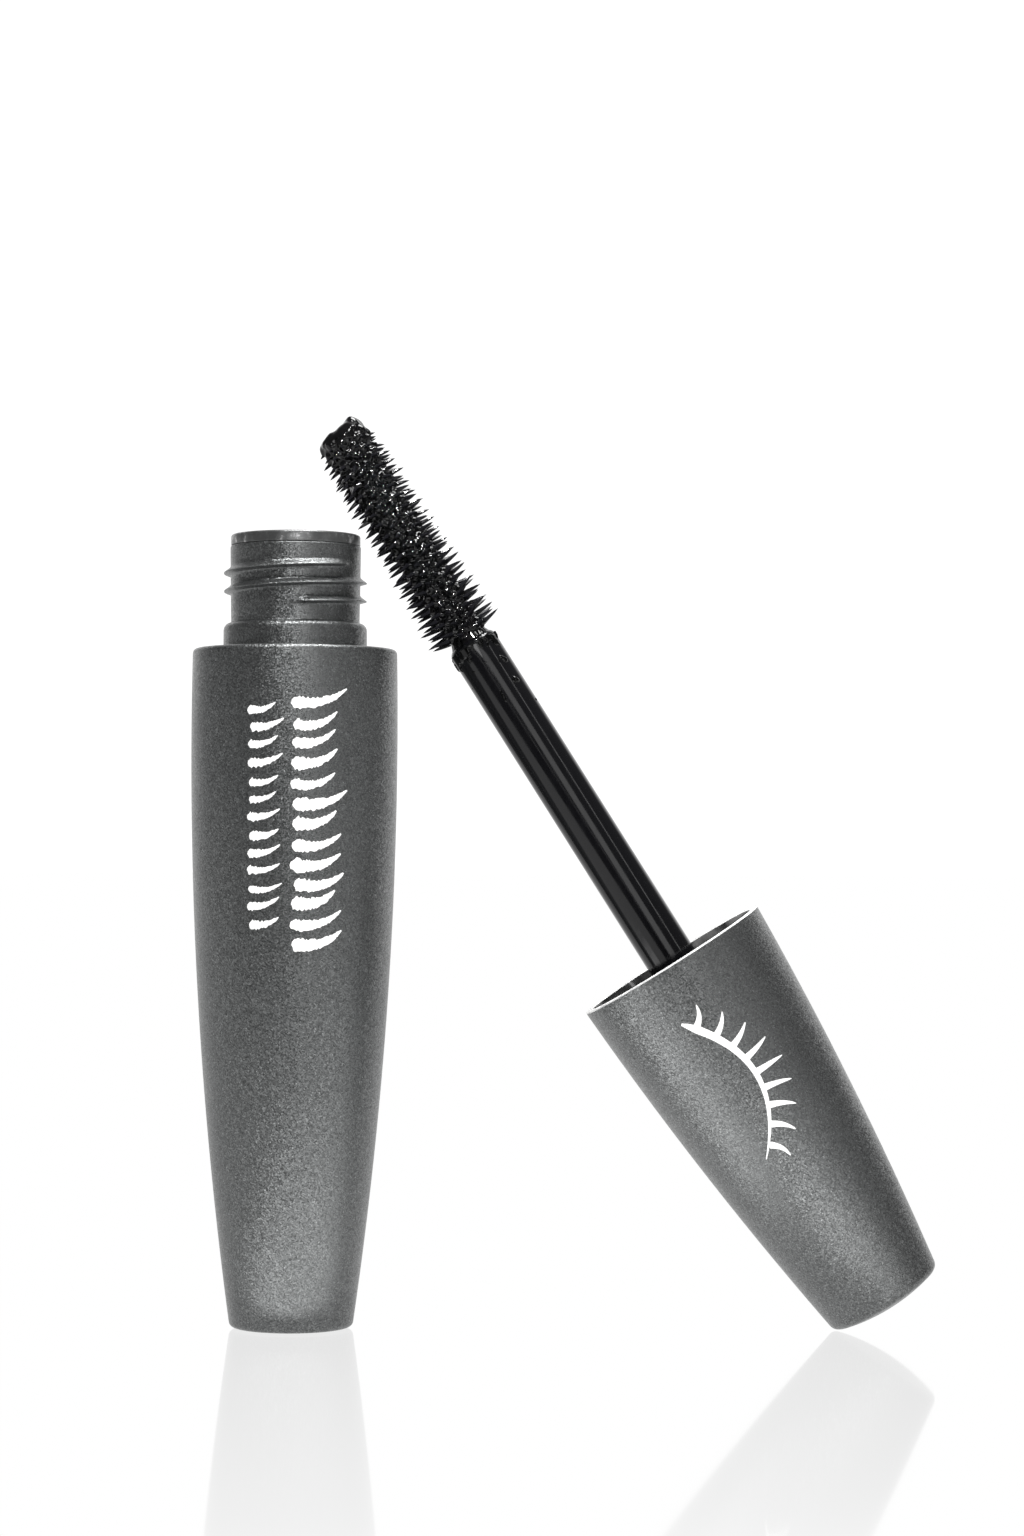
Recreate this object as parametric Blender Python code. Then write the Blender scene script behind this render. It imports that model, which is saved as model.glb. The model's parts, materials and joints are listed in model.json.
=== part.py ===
"""Mascara tube, opened: the bottle stands, and its applicator leans on the bottle's neck.

Metres, +Z up. The origin is the centre of the bottle's flat foot. The applicator is built
along its own +Z, from its cap's mouth (0) towards the brush, and an empty leans it over.
"""
import math

import bmesh
import bpy
from mathutils import Matrix, Vector

MM = 0.001
SEGMENTS = 48
INNER_SEGMENTS = 32
BRUSH_SEGMENTS = 24
THREAD_STEPS_PER_TURN = 24
GAP = 0.3

# Driving dimensions, in millimetres and degrees.
BOTTLE_HEIGHT = 81.4
BOTTLE_MAX_RADIUS = 12.42
BOTTLE_MAX_RADIUS_HEIGHT = 71.0
BOTTLE_TAPER = 0.001
BOTTLE_WALL = 1.2
FOOT_THICKNESS = 2.2
FOOT_ROUNDING = 0.7
SIDE_START = 4.0
SIDE_END = 78.0
SHOULDER_ROUNDING = 0.6
SHOULDER_THICKNESS = 1.6

VIAL_SHAFT_RADIUS = 7.2
VIAL_FLOOR_RADIUS = 5.9
VIAL_FLOOR_HEIGHT = 2.8
VIAL_WALL = 1.0
VIAL_TAPER_END = 60.0
COLLAR_RADIUS = 8.65
COLLAR_TOP = 84.2
COLLAR_ROUNDING = 0.6
NECK_ROOT_RADIUS = 7.75
NECK_TOP_RADIUS = 7.9
NECK_TOP_CHAMFER = 0.2
NECK_BORE_RADIUS = 6.2
RIM_HEIGHT = 95.2

WIPER_FLANGE_RADIUS = 7.8
WIPER_FLANGE_THICKNESS = 1.3
WIPER_CHAMFER = 0.3
WIPER_WALL = 0.9
WIPER_SLEEVE_FOOT = 88.0
WIPER_ORIFICE_RADIUS = 3.2
WIPER_LIP_HEIGHT = 79.6
WIPER_LIP_LENGTH = 0.8

FILL_TOP = 58.0
FILL_POOL_DEPTH = 1.2
FILL_POOL_MENISCUS = 0.4
CHANNEL_FLOOR_RADIUS = 3.5
CHANNEL_TOP_RADIUS = 4.6

THREAD_PITCH = 2.2
THREAD_CREST_RADIUS = 8.65
THREAD_START_HEIGHT = 86.65
THREAD_TURNS = 2.17
THREAD_START_ANGLE = -90.0

CAP_LENGTH = 49.15
CAP_DOME = 1.15
CAP_MOUTH_RADIUS = 12.15
CAP_SLOPE = 0.047
CAP_CURVE = 0.00113
CAP_WALL = 1.0
CAP_END_THICKNESS = 1.6
CAP_END_ROUNDING = 1.0
CAP_SIDE_END = 46.0
CAP_FLAT_RADIUS = 5.6

LINER_RECESS = 3.0
LINER_DECK = 16.2
LINER_DECK_THICKNESS = 1.2
LINER_FLANGE_THICKNESS = 1.2
LINER_CHAMFER = 0.5
LINER_BORE_RADIUS = 8.95
LINER_THREAD_CREST_RADIUS = 8.25
LINER_THREAD_DEPTH = 9.6
LINER_THREAD_TURNS = 1.5

WASHER_DEPTH = 13.9
WASHER_THICKNESS = 0.8
WASHER_HOLE_CLEARANCE = 0.8
WASHER_EDGE_CLEARANCE = 0.4
STEM_RADIUS = 3.07
STEM_REACH = 45.5
STEM_END_ROUNDING = 0.9
STEM_FLANGE_RADIUS = 7.6
STEM_FLANGE_THICKNESS = 0.9
STEM_PLUG_RADIUS = 2.9
STEM_PLUG_DEPTH = 19.0

BRUSH_REACH = 75.7
BRUSH_HEEL_RADIUS = 4.95
BRUSH_TIP_RADIUS = 3.5
BRUSH_CORE_RADIUS = 1.6
BRUSH_PLUG_RADIUS = 1.2
BRUSH_PLUG_LENGTH = 6.0
BRUSH_ROWS = 12
BRUSH_TIP_CHAMFER = 0.5

LEAN = 32.5
BRUSH_TO_RIM_CLEARANCE = 0.35
TIP_ABOVE_RIM_WHEN_UPRIGHT = 6.0


def clear_scene():
    for thing in list(bpy.data.objects):
        bpy.data.objects.remove(thing, do_unlink=True)


def plastic(name, colour, roughness, metallic=0.0):
    material = bpy.data.materials.new(name)
    material.use_nodes = True
    shader = material.node_tree.nodes["Principled BSDF"]
    shader.inputs["Base Color"].default_value = (*colour, 1.0)
    shader.inputs["Roughness"].default_value = roughness
    shader.inputs["Metallic"].default_value = metallic
    return material


def fillet(before, corner, after, radius, steps=4):
    """The arc of the given radius that rounds a corner between two straight runs."""
    corner = Vector(corner)
    to_before = (Vector(before) - corner).normalized()
    to_after = (Vector(after) - corner).normalized()
    half_angle = to_before.angle(to_after) / 2
    centre = corner + (to_before + to_after).normalized() * (radius / math.sin(half_angle))
    start = corner + to_before * (radius / math.tan(half_angle)) - centre
    end = corner + to_after * (radius / math.tan(half_angle)) - centre
    sweep = start.angle_signed(end)
    points = []
    for step in range(steps + 1):
        arm = start.copy()
        arm.rotate(Matrix.Rotation(-sweep * step / steps, 2))
        points.append(tuple(centre + arm))
    return points


def finish_mesh(name, mesh_builder, material, parent=None):
    """Turn a bmesh in millimetres into a smooth-shaded object in metres."""
    bmesh.ops.remove_doubles(mesh_builder, verts=mesh_builder.verts, dist=0.0005)
    bmesh.ops.recalc_face_normals(mesh_builder, faces=mesh_builder.faces)
    bmesh.ops.scale(mesh_builder, vec=(MM, MM, MM), verts=mesh_builder.verts)
    mesh = bpy.data.meshes.new(name)
    mesh_builder.to_mesh(mesh)
    mesh_builder.free()
    mesh.shade_smooth()
    mesh.set_sharp_from_angle(angle=math.radians(35))
    mesh.materials.append(material)
    piece = bpy.data.objects.new(name, mesh)
    bpy.context.collection.objects.link(piece)
    piece.parent = parent
    return piece


def turned(name, outline, material, parent=None, ring=False, segments=SEGMENTS):
    """Spin an outline of (radius, height) points about Z; a ring's outline closes on itself."""
    builder = bmesh.new()
    points = [builder.verts.new((radius, 0.0, height)) for radius, height in outline]
    edges = [builder.edges.new(pair) for pair in zip(points, points[1:])]
    if ring:
        edges.append(builder.edges.new((points[-1], points[0])))
    bmesh.ops.spin(builder, geom=points + edges, cent=(0, 0, 0), axis=(0, 0, 1),
                   angle=math.tau, steps=segments, use_merge=True)
    return finish_mesh(name, builder, material, parent)


def thread_ridge(name, root, crest, start_height, start_angle, turns, material, parent=None):
    """A right-handed ridge on a round wall, flat-topped and tapering out at both ends."""
    steps = round(turns * THREAD_STEPS_PER_TURN)
    run_out = 3
    root_half = 0.55
    crest_half = 0.2
    bury = 0.3 if crest > root else -0.3
    builder = bmesh.new()
    loops = []
    for step in range(steps + 1):
        angle = math.radians(start_angle) + math.tau * turns * step / steps
        height = start_height + THREAD_PITCH * turns * step / steps
        rise = min(1.0, (step + 0.4) / run_out, (steps - step + 0.4) / run_out)
        top = root + (crest - root) * rise
        section = ((root - bury, -root_half), (root, -root_half), (top, -crest_half * rise),
                   (top, crest_half * rise), (root, root_half), (root - bury, root_half))
        loop = [builder.verts.new((radius * math.cos(angle), radius * math.sin(angle), height + offset))
                for radius, offset in section]
        loops.append(loop)
    for near, far in zip(loops, loops[1:]):
        for index in range(len(near)):
            following = (index + 1) % len(near)
            builder.faces.new((near[index], near[following], far[following], far[index]))
    builder.faces.new(loops[0])
    builder.faces.new(reversed(loops[-1]))
    ridge = finish_mesh(name, builder, material, parent)
    ridge.hide_render = True
    ridge.display_type = "WIRE"
    return ridge


def join_ridge(piece, ridge):
    union = piece.modifiers.new("thread", "BOOLEAN")
    union.operation = "UNION"
    union.solver = "EXACT"
    union.object = ridge


def bottle_radius(height):
    """The bottle's side: a parabola that is widest a little below the shoulder."""
    return BOTTLE_MAX_RADIUS - BOTTLE_TAPER * (BOTTLE_MAX_RADIUS_HEIGHT - height) ** 2


def cap_radius(depth):
    """The cap's side, at a depth below its mouth."""
    return CAP_MOUTH_RADIUS - CAP_SLOPE * depth - CAP_CURVE * depth ** 2


def brush_radius(reach):
    """The radius that holds the bristle tips, at a distance beyond the cap's mouth."""
    share = (reach - STEM_REACH) / (BRUSH_REACH - STEM_REACH)
    return BRUSH_HEEL_RADIUS + (BRUSH_TIP_RADIUS - BRUSH_HEEL_RADIUS) * share


def spaced(first, last, count):
    return [first + (last - first) * index / (count - 1) for index in range(count)]


def outer_tube():
    hole = VIAL_SHAFT_RADIUS + GAP
    side_low = (bottle_radius(SIDE_START), SIDE_START)
    side_high = (bottle_radius(SIDE_END), SIDE_END)
    foot_edge = (bottle_radius(0.0), 0.0)
    shoulder_edge = (bottle_radius(BOTTLE_HEIGHT), BOTTLE_HEIGHT)
    outline = [(hole, BOTTLE_HEIGHT)]
    outline += fillet(outline[0], shoulder_edge, side_high, SHOULDER_ROUNDING)
    outline += [(bottle_radius(height), height) for height in spaced(SIDE_END, SIDE_START, 12)]
    outline += fillet(side_low, foot_edge, (0.0, 0.0), FOOT_ROUNDING)
    outline += [(0.0, 0.0), (0.0, FOOT_THICKNESS)]
    inner_top = BOTTLE_HEIGHT - SHOULDER_THICKNESS
    outline += [(bottle_radius(height) - BOTTLE_WALL, height)
                for height in spaced(FOOT_THICKNESS, inner_top, 8)]
    outline += [(hole, inner_top)]
    paint = plastic("outer_tube_paint", (0.13, 0.135, 0.135), 0.38, 0.7)
    return turned("outer_tube", outline, paint, ring=True)


def inner_vial():
    neck_top = RIM_HEIGHT - WIPER_FLANGE_THICKNESS - GAP
    seat = BOTTLE_HEIGHT + GAP
    floor_top = VIAL_FLOOR_HEIGHT + VIAL_WALL
    outline = [(0.0, VIAL_FLOOR_HEIGHT), (VIAL_FLOOR_RADIUS, VIAL_FLOOR_HEIGHT),
               (VIAL_SHAFT_RADIUS, VIAL_TAPER_END), (VIAL_SHAFT_RADIUS, seat), (COLLAR_RADIUS, seat)]
    outline += fillet(outline[-1], (COLLAR_RADIUS, COLLAR_TOP), (NECK_ROOT_RADIUS, COLLAR_TOP),
                      COLLAR_ROUNDING)
    outline += [(NECK_ROOT_RADIUS, COLLAR_TOP), (NECK_TOP_RADIUS, neck_top - NECK_TOP_CHAMFER),
                (NECK_TOP_RADIUS - NECK_TOP_CHAMFER, neck_top), (NECK_BORE_RADIUS, neck_top),
                (NECK_BORE_RADIUS, VIAL_TAPER_END), (VIAL_FLOOR_RADIUS - VIAL_WALL, floor_top),
                (0.0, floor_top)]
    paint = plastic("inner_vial_paint", (0.14, 0.145, 0.145), 0.4, 0.7)
    vial = turned("inner_vial", outline, paint)
    ridge = thread_ridge("neck_thread_guide", NECK_ROOT_RADIUS + 0.05, THREAD_CREST_RADIUS,
                         THREAD_START_HEIGHT, THREAD_START_ANGLE, THREAD_TURNS, paint)
    join_ridge(vial, ridge)
    return vial


def wiper():
    flange_foot = RIM_HEIGHT - WIPER_FLANGE_THICKNESS
    sleeve = NECK_BORE_RADIUS - GAP
    mouth = sleeve - WIPER_WALL
    outline = [(mouth + WIPER_CHAMFER, RIM_HEIGHT), (WIPER_FLANGE_RADIUS - WIPER_CHAMFER, RIM_HEIGHT),
               (WIPER_FLANGE_RADIUS, RIM_HEIGHT - WIPER_CHAMFER), (WIPER_FLANGE_RADIUS, flange_foot),
               (sleeve, flange_foot), (sleeve, WIPER_SLEEVE_FOOT),
               (WIPER_ORIFICE_RADIUS + WIPER_WALL, WIPER_LIP_HEIGHT),
               (WIPER_ORIFICE_RADIUS, WIPER_LIP_HEIGHT),
               (WIPER_ORIFICE_RADIUS, WIPER_LIP_HEIGHT + WIPER_LIP_LENGTH),
               (mouth, WIPER_SLEEVE_FOOT + WIPER_CHAMFER), (mouth, RIM_HEIGHT - WIPER_CHAMFER)]
    soft = plastic("wiper_soft_plastic", (0.11, 0.112, 0.112), 0.36, 0.5)
    return turned("wiper", outline, soft, ring=True)


def mascara_fill():
    """Paste left on the vial's wall and floor, with the channel that the brush keeps open."""
    floor = VIAL_FLOOR_HEIGHT + VIAL_WALL + GAP
    low = VIAL_FLOOR_RADIUS - VIAL_WALL - GAP
    high = NECK_BORE_RADIUS - GAP - 0.1
    pool_top = floor + FILL_POOL_DEPTH
    outline = [(0.0, floor), (low, floor), (high, FILL_TOP), (CHANNEL_TOP_RADIUS, FILL_TOP),
               (CHANNEL_FLOOR_RADIUS, pool_top + FILL_POOL_MENISCUS), (0.0, pool_top)]
    paste = plastic("mascara_paste", (0.004, 0.004, 0.004), 0.18)
    return turned("mascara_fill", outline, paste, segments=INNER_SEGMENTS)


def cap_shell_outline():
    corner_depth = CAP_LENGTH - CAP_DOME
    end_radius = cap_radius(corner_depth)

    def dome(radius):
        return (radius, -CAP_LENGTH + CAP_DOME * (radius / end_radius) ** 2)

    side = [(cap_radius(depth), -depth) for depth in spaced(0.0, CAP_SIDE_END, 12)]
    corner = fillet(side[-1], (end_radius, -corner_depth), dome(CAP_FLAT_RADIUS), CAP_END_ROUNDING)
    return side + corner + [dome(radius) for radius in spaced(CAP_FLAT_RADIUS, 0.0, 4)]


def cap_shell(parent):
    outline = cap_shell_outline()
    inner_end = CAP_LENGTH - CAP_END_THICKNESS - CAP_DOME
    outline += [(0.0, -inner_end)]
    outline += [(cap_radius(depth) - CAP_WALL, -depth) for depth in spaced(inner_end, 0.0, 8)]
    paint = plastic("cap_shell_paint", (0.15, 0.155, 0.155), 0.36, 0.7)
    return turned("cap_shell", outline, paint, parent, ring=True)


def inner_cap(parent):
    deck_back = LINER_DECK + LINER_DECK_THICKNESS
    flange_back = LINER_RECESS + LINER_FLANGE_THICKNESS
    skirt = cap_radius(deck_back) - CAP_WALL - GAP
    flange = cap_radius(flange_back) - CAP_WALL - GAP
    hole = STEM_PLUG_RADIUS + GAP
    outline = [(hole, -deck_back), (hole, -LINER_DECK), (LINER_BORE_RADIUS, -LINER_DECK),
               (LINER_BORE_RADIUS, -LINER_RECESS - LINER_CHAMFER),
               (LINER_BORE_RADIUS + LINER_CHAMFER, -LINER_RECESS), (flange, -LINER_RECESS),
               (flange, -flange_back), (skirt, -flange_back), (skirt, -deck_back)]
    moulded = plastic("inner_cap_plastic", (0.02, 0.02, 0.021), 0.3)
    liner = turned("inner_cap", outline, moulded, parent, ring=True)
    ridge = thread_ridge("liner_thread_guide", LINER_BORE_RADIUS, LINER_THREAD_CREST_RADIUS,
                         -LINER_THREAD_DEPTH, 0.0, LINER_THREAD_TURNS, moulded, parent)
    join_ridge(liner, ridge)
    return liner


def seal_washer(parent):
    back = WASHER_DEPTH + WASHER_THICKNESS
    hole = STEM_RADIUS + WASHER_HOLE_CLEARANCE
    edge = LINER_THREAD_CREST_RADIUS - WASHER_EDGE_CLEARANCE
    outline = [(hole, -back), (hole, -WASHER_DEPTH), (edge, -WASHER_DEPTH), (edge, -back)]
    foam = plastic("seal_washer_rubber", (0.6, 0.6, 0.58), 0.7)
    return turned("seal_washer", outline, foam, parent, ring=True)


def stem(parent):
    flange_front = WASHER_DEPTH + WASHER_THICKNESS + GAP
    flange_back = flange_front + STEM_FLANGE_THICKNESS
    socket = BRUSH_PLUG_RADIUS + GAP
    socket_floor = STEM_REACH - BRUSH_PLUG_LENGTH - GAP
    outline = [(0.0, -STEM_PLUG_DEPTH), (STEM_PLUG_RADIUS, -STEM_PLUG_DEPTH),
               (STEM_PLUG_RADIUS, -flange_back), (STEM_FLANGE_RADIUS, -flange_back),
               (STEM_FLANGE_RADIUS, -flange_front), (STEM_RADIUS, -flange_front)]
    outline += fillet(outline[-1], (STEM_RADIUS, STEM_REACH), (socket, STEM_REACH), STEM_END_ROUNDING)
    outline += [(socket, STEM_REACH), (socket, socket_floor), (0.0, socket_floor)]
    gloss = plastic("stem_gloss_plastic", (0.006, 0.006, 0.007), 0.12)
    return turned("stem", outline, gloss, parent, segments=INNER_SEGMENTS)


def brush(parent):
    """The moulded brush: its spine, its plug, and one fin for each row of bristles."""
    heel = STEM_REACH + GAP
    tip = BRUSH_REACH
    row_pitch = (tip - heel) / BRUSH_ROWS
    outline = [(0.0, STEM_REACH - BRUSH_PLUG_LENGTH), (BRUSH_PLUG_RADIUS, STEM_REACH - BRUSH_PLUG_LENGTH),
               (BRUSH_PLUG_RADIUS, heel)]
    for row in range(BRUSH_ROWS):
        low = heel + row * row_pitch
        high = low + row_pitch * 0.5
        if row:
            outline += [(BRUSH_CORE_RADIUS, low)]
        outline += [(brush_radius(low), low), (brush_radius(high), high), (BRUSH_CORE_RADIUS, high)]
    outline += [(BRUSH_CORE_RADIUS, tip - BRUSH_TIP_CHAMFER), (BRUSH_CORE_RADIUS - BRUSH_TIP_CHAMFER, tip),
                (0.0, tip)]
    moulded = plastic("brush_moulded_plastic", (0.006, 0.006, 0.006), 0.2)
    return turned("brush", outline, moulded, parent, segments=BRUSH_SEGMENTS)


def mouth_centre():
    """Where the cap's mouth is when the cap's end touches the table and the brush is near the rim."""
    lean = math.radians(LEAN)
    height = max(radius * math.sin(lean) - z * math.cos(lean) for radius, z in cap_shell_outline())
    rise = RIM_HEIGHT - height
    taper = (BRUSH_HEEL_RADIUS - BRUSH_TIP_RADIUS) / (BRUSH_REACH - STEM_REACH)
    radius_at_mouth = BRUSH_HEEL_RADIUS + taper * STEM_REACH
    needed = radius_at_mouth + BRUSH_TO_RIM_CLEARANCE + rise * (math.sin(lean) - taper * math.cos(lean))
    run = needed / (math.cos(lean) + taper * math.sin(lean))
    return Vector((WIPER_FLANGE_RADIUS + run, 0.0, height))


def swing_centre(mouth):
    """The fixed point of the turn that brings the applicator upright over the neck, brush down."""
    upright_mouth = Vector((0.0, 0.0, RIM_HEIGHT + TIP_ABOVE_RIM_WHEN_UPRIGHT + BRUSH_REACH))
    half = (upright_mouth - mouth) / 2
    sideways = Vector((-half.z, 0.0, half.x)) / math.tan(math.radians(180 - LEAN) / 2)
    return mouth + half + sideways


def empty(name, location, parent=None):
    marker = bpy.data.objects.new(name, None)
    bpy.context.collection.objects.link(marker)
    marker.location = location
    marker.parent = parent
    return marker


def build():
    clear_scene()
    outer_tube()
    inner_vial()
    wiper()
    mascara_fill()
    mouth = mouth_centre()
    pivot = swing_centre(mouth)
    swing_axis = empty("swing_axis", pivot * MM)
    twist_axis = empty("twist_axis", (mouth - pivot) * MM, swing_axis)
    twist_axis.rotation_euler = (0.0, -math.radians(LEAN), 0.0)
    for make in (cap_shell, inner_cap, seal_washer, stem, brush):
        make(twist_axis)


build()
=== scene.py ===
"""The looks of an opened mascara tube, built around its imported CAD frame.

Builders work in millimetres. Bottle pieces use the frame's own axes; applicator pieces use
an axis of their own, from the cap's mouth (0) towards the brush, and are then laid along
the cap_twist joint.
"""

import json
import math
import random

import bmesh
import bpy
from mathutils import Matrix, Vector, noise


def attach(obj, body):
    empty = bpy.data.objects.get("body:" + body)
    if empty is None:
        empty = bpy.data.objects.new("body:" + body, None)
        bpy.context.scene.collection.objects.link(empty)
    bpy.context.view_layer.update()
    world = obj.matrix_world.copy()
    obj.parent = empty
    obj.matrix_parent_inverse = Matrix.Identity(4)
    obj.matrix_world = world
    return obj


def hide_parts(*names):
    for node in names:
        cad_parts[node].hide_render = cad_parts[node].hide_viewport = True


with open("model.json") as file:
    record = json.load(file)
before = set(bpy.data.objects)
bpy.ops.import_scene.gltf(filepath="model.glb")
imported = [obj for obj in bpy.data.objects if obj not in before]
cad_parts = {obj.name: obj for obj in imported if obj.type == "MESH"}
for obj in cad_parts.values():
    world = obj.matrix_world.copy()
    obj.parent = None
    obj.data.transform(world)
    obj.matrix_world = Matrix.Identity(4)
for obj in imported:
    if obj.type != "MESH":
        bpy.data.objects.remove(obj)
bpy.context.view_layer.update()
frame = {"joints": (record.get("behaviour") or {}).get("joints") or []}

MM = 0.001
SEGMENTS = 144
GAP = 0.3
SEATED = 0.04

# Bottle, as in the CAD.
BOTTLE_HEIGHT = 81.4
BOTTLE_MAX_RADIUS = 12.42
BOTTLE_MAX_RADIUS_HEIGHT = 71.0
BOTTLE_TAPER = 0.001
BOTTLE_WALL = 1.2
FOOT_THICKNESS = 2.2
FOOT_ROUNDING = 0.7
SIDE_START = 4.0
SIDE_END = 78.0
SHOULDER_ROUNDING = 0.6
SHOULDER_THICKNESS = 1.6
VIAL_SHAFT_RADIUS = 7.2
VIAL_FLOOR_RADIUS = 5.9
VIAL_FLOOR_HEIGHT = 2.8
VIAL_WALL = 1.0
VIAL_TAPER_END = 60.0
COLLAR_RADIUS = 8.65
COLLAR_TOP = 84.2
NECK_ROOT_RADIUS = 7.75
NECK_TOP_RADIUS = 7.9
NECK_BORE_RADIUS = 6.2
RIM_HEIGHT = 95.2
WIPER_FLANGE_RADIUS = 7.8
WIPER_FLANGE_THICKNESS = 1.3
WIPER_WALL = 0.9
WIPER_SLEEVE_FOOT = 88.0
WIPER_ORIFICE_RADIUS = 3.2
WIPER_LIP_HEIGHT = 79.6
WIPER_LIP_LENGTH = 0.8
FILL_TOP = 58.0
THREAD_PITCH = 2.2
THREAD_START_HEIGHT = 86.65

# Applicator, as in the CAD.
CAP_LENGTH = 49.15
CAP_DOME = 1.15
CAP_MOUTH_RADIUS = 12.15
CAP_SLOPE = 0.047
CAP_CURVE = 0.00113
CAP_WALL = 1.0
CAP_END_THICKNESS = 1.6
CAP_END_ROUNDING = 1.0
CAP_SIDE_END = 46.0
CAP_FLAT_RADIUS = 5.6
LINER_RECESS = 3.0
LINER_DECK = 16.2
LINER_DECK_THICKNESS = 1.2
LINER_FLANGE_THICKNESS = 1.2
LINER_BORE_RADIUS = 8.95
LINER_THREAD_CREST_RADIUS = 8.25
LINER_THREAD_DEPTH = 9.6
WASHER_DEPTH = 13.9
WASHER_THICKNESS = 0.8
WASHER_HOLE_CLEARANCE = 0.8
WASHER_EDGE_CLEARANCE = 0.4
STEM_RADIUS = 3.07
STEM_REACH = 45.5
STEM_FLANGE_RADIUS = 7.6
STEM_FLANGE_THICKNESS = 0.9
STEM_PLUG_RADIUS = 2.9
STEM_PLUG_DEPTH = 19.0
BRUSH_REACH = 75.7
BRUSH_HEEL_RADIUS = 4.95
BRUSH_TIP_RADIUS = 3.5
BRUSH_CORE_RADIUS = 1.6
BRUSH_PLUG_RADIUS = 1.2
BRUSH_PLUG_LENGTH = 6.0

# Brush detail.
BRISTLE_ROWS = 14
BRISTLES_PER_ROW = 20


# ---------------------------------------------------------------- placing

def applicator_frame():
    """The matrix that lays applicator pieces, in millimetres, along the cap_twist joint."""
    joint = next(j for j in frame["joints"] if j["name"] == "cap_twist")
    axis = Vector(joint["axis"])
    lean = math.atan2(-axis.x, axis.z)
    return Matrix.Translation(Vector(joint["pos_m"]) / MM) @ Matrix.Rotation(-lean, 4, "Y")


UPRIGHT = Matrix.Identity(4)
LEANING = applicator_frame()


def add_piece(name, builder, material, body, replaces=(), place=UPRIGHT, sharp=40):
    """Close up a bmesh in millimetres, lay it in the frame in metres, and ride it on its body."""
    bmesh.ops.remove_doubles(builder, verts=builder.verts, dist=0.0008)
    bmesh.ops.recalc_face_normals(builder, faces=builder.faces)
    mesh = bpy.data.meshes.new(name)
    builder.to_mesh(mesh)
    builder.free()
    mesh.transform(Matrix.Scale(MM, 4) @ place)
    mesh.shade_smooth()
    mesh.set_sharp_from_angle(angle=math.radians(sharp))
    mesh.materials.append(material)
    piece = bpy.data.objects.new(name, mesh)
    bpy.context.collection.objects.link(piece)
    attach(piece, body)
    if replaces:
        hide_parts(*replaces)
    return piece


# ---------------------------------------------------------------- outlines and turned bodies

def fillet(before, corner, after, radius, steps):
    """The arc that rounds a corner between two straight runs."""
    corner = Vector(corner)
    to_before = (Vector(before) - corner).normalized()
    to_after = (Vector(after) - corner).normalized()
    half_angle = to_before.angle(to_after) / 2
    centre = corner + (to_before + to_after).normalized() * (radius / math.sin(half_angle))
    start = corner + to_before * (radius / math.tan(half_angle)) - centre
    end = corner + to_after * (radius / math.tan(half_angle)) - centre
    sweep = start.angle_signed(end)
    points = []
    for step in range(steps + 1):
        arm = start.copy()
        arm.rotate(Matrix.Rotation(-sweep * step / steps, 2))
        points.append(tuple(centre + arm))
    return points


def softened(corners, closed=False, steps=6):
    """An outline from (radius, height, rounding) corners; a rounding of 0 stays a point."""
    points = []
    for index, (radius, height, rounding) in enumerate(corners):
        inside = closed or 0 < index < len(corners) - 1
        if rounding and inside:
            before = corners[index - 1][:2]
            after = corners[(index + 1) % len(corners)][:2]
            points += fillet(before, (radius, height), after, rounding, steps)
        else:
            points.append((radius, height))
    return points


def spaced(first, last, count):
    """Evenly spaced values, both ends included."""
    return [first + (last - first) * index / (count - 1) for index in range(count)]


def add_turned(builder, outline, closed=False, segments=SEGMENTS, ripple=None):
    """Rings of vertices round Z for each outline point, joined into quads."""
    rings = []
    for radius, height in outline:
        if radius < 1e-6:
            rings.append([builder.verts.new((0.0, 0.0, height))] * segments)
            continue
        ring = []
        for step in range(segments):
            angle = math.tau * step / segments
            out, up = ripple(radius, height, angle) if ripple else (radius, height)
            ring.append(builder.verts.new((out * math.cos(angle), out * math.sin(angle), up)))
        rings.append(ring)
    pairs = list(zip(rings, rings[1:]))
    if closed:
        pairs.append((rings[-1], rings[0]))
    for low, high in pairs:
        for step in range(segments):
            following = (step + 1) % segments
            corners = [low[step], low[following], high[following], high[step]]
            distinct = list(dict.fromkeys(corners))
            if len(distinct) > 2:
                builder.faces.new(distinct)


def turned_piece(name, outline, material, body, replaces=(), place=UPRIGHT, closed=True,
                 segments=SEGMENTS, ripple=None):
    """A piece that is one outline turned round its axis."""
    builder = bmesh.new()
    add_turned(builder, outline, closed, segments, ripple)
    return add_piece(name, builder, material, body, replaces, place)


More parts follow.
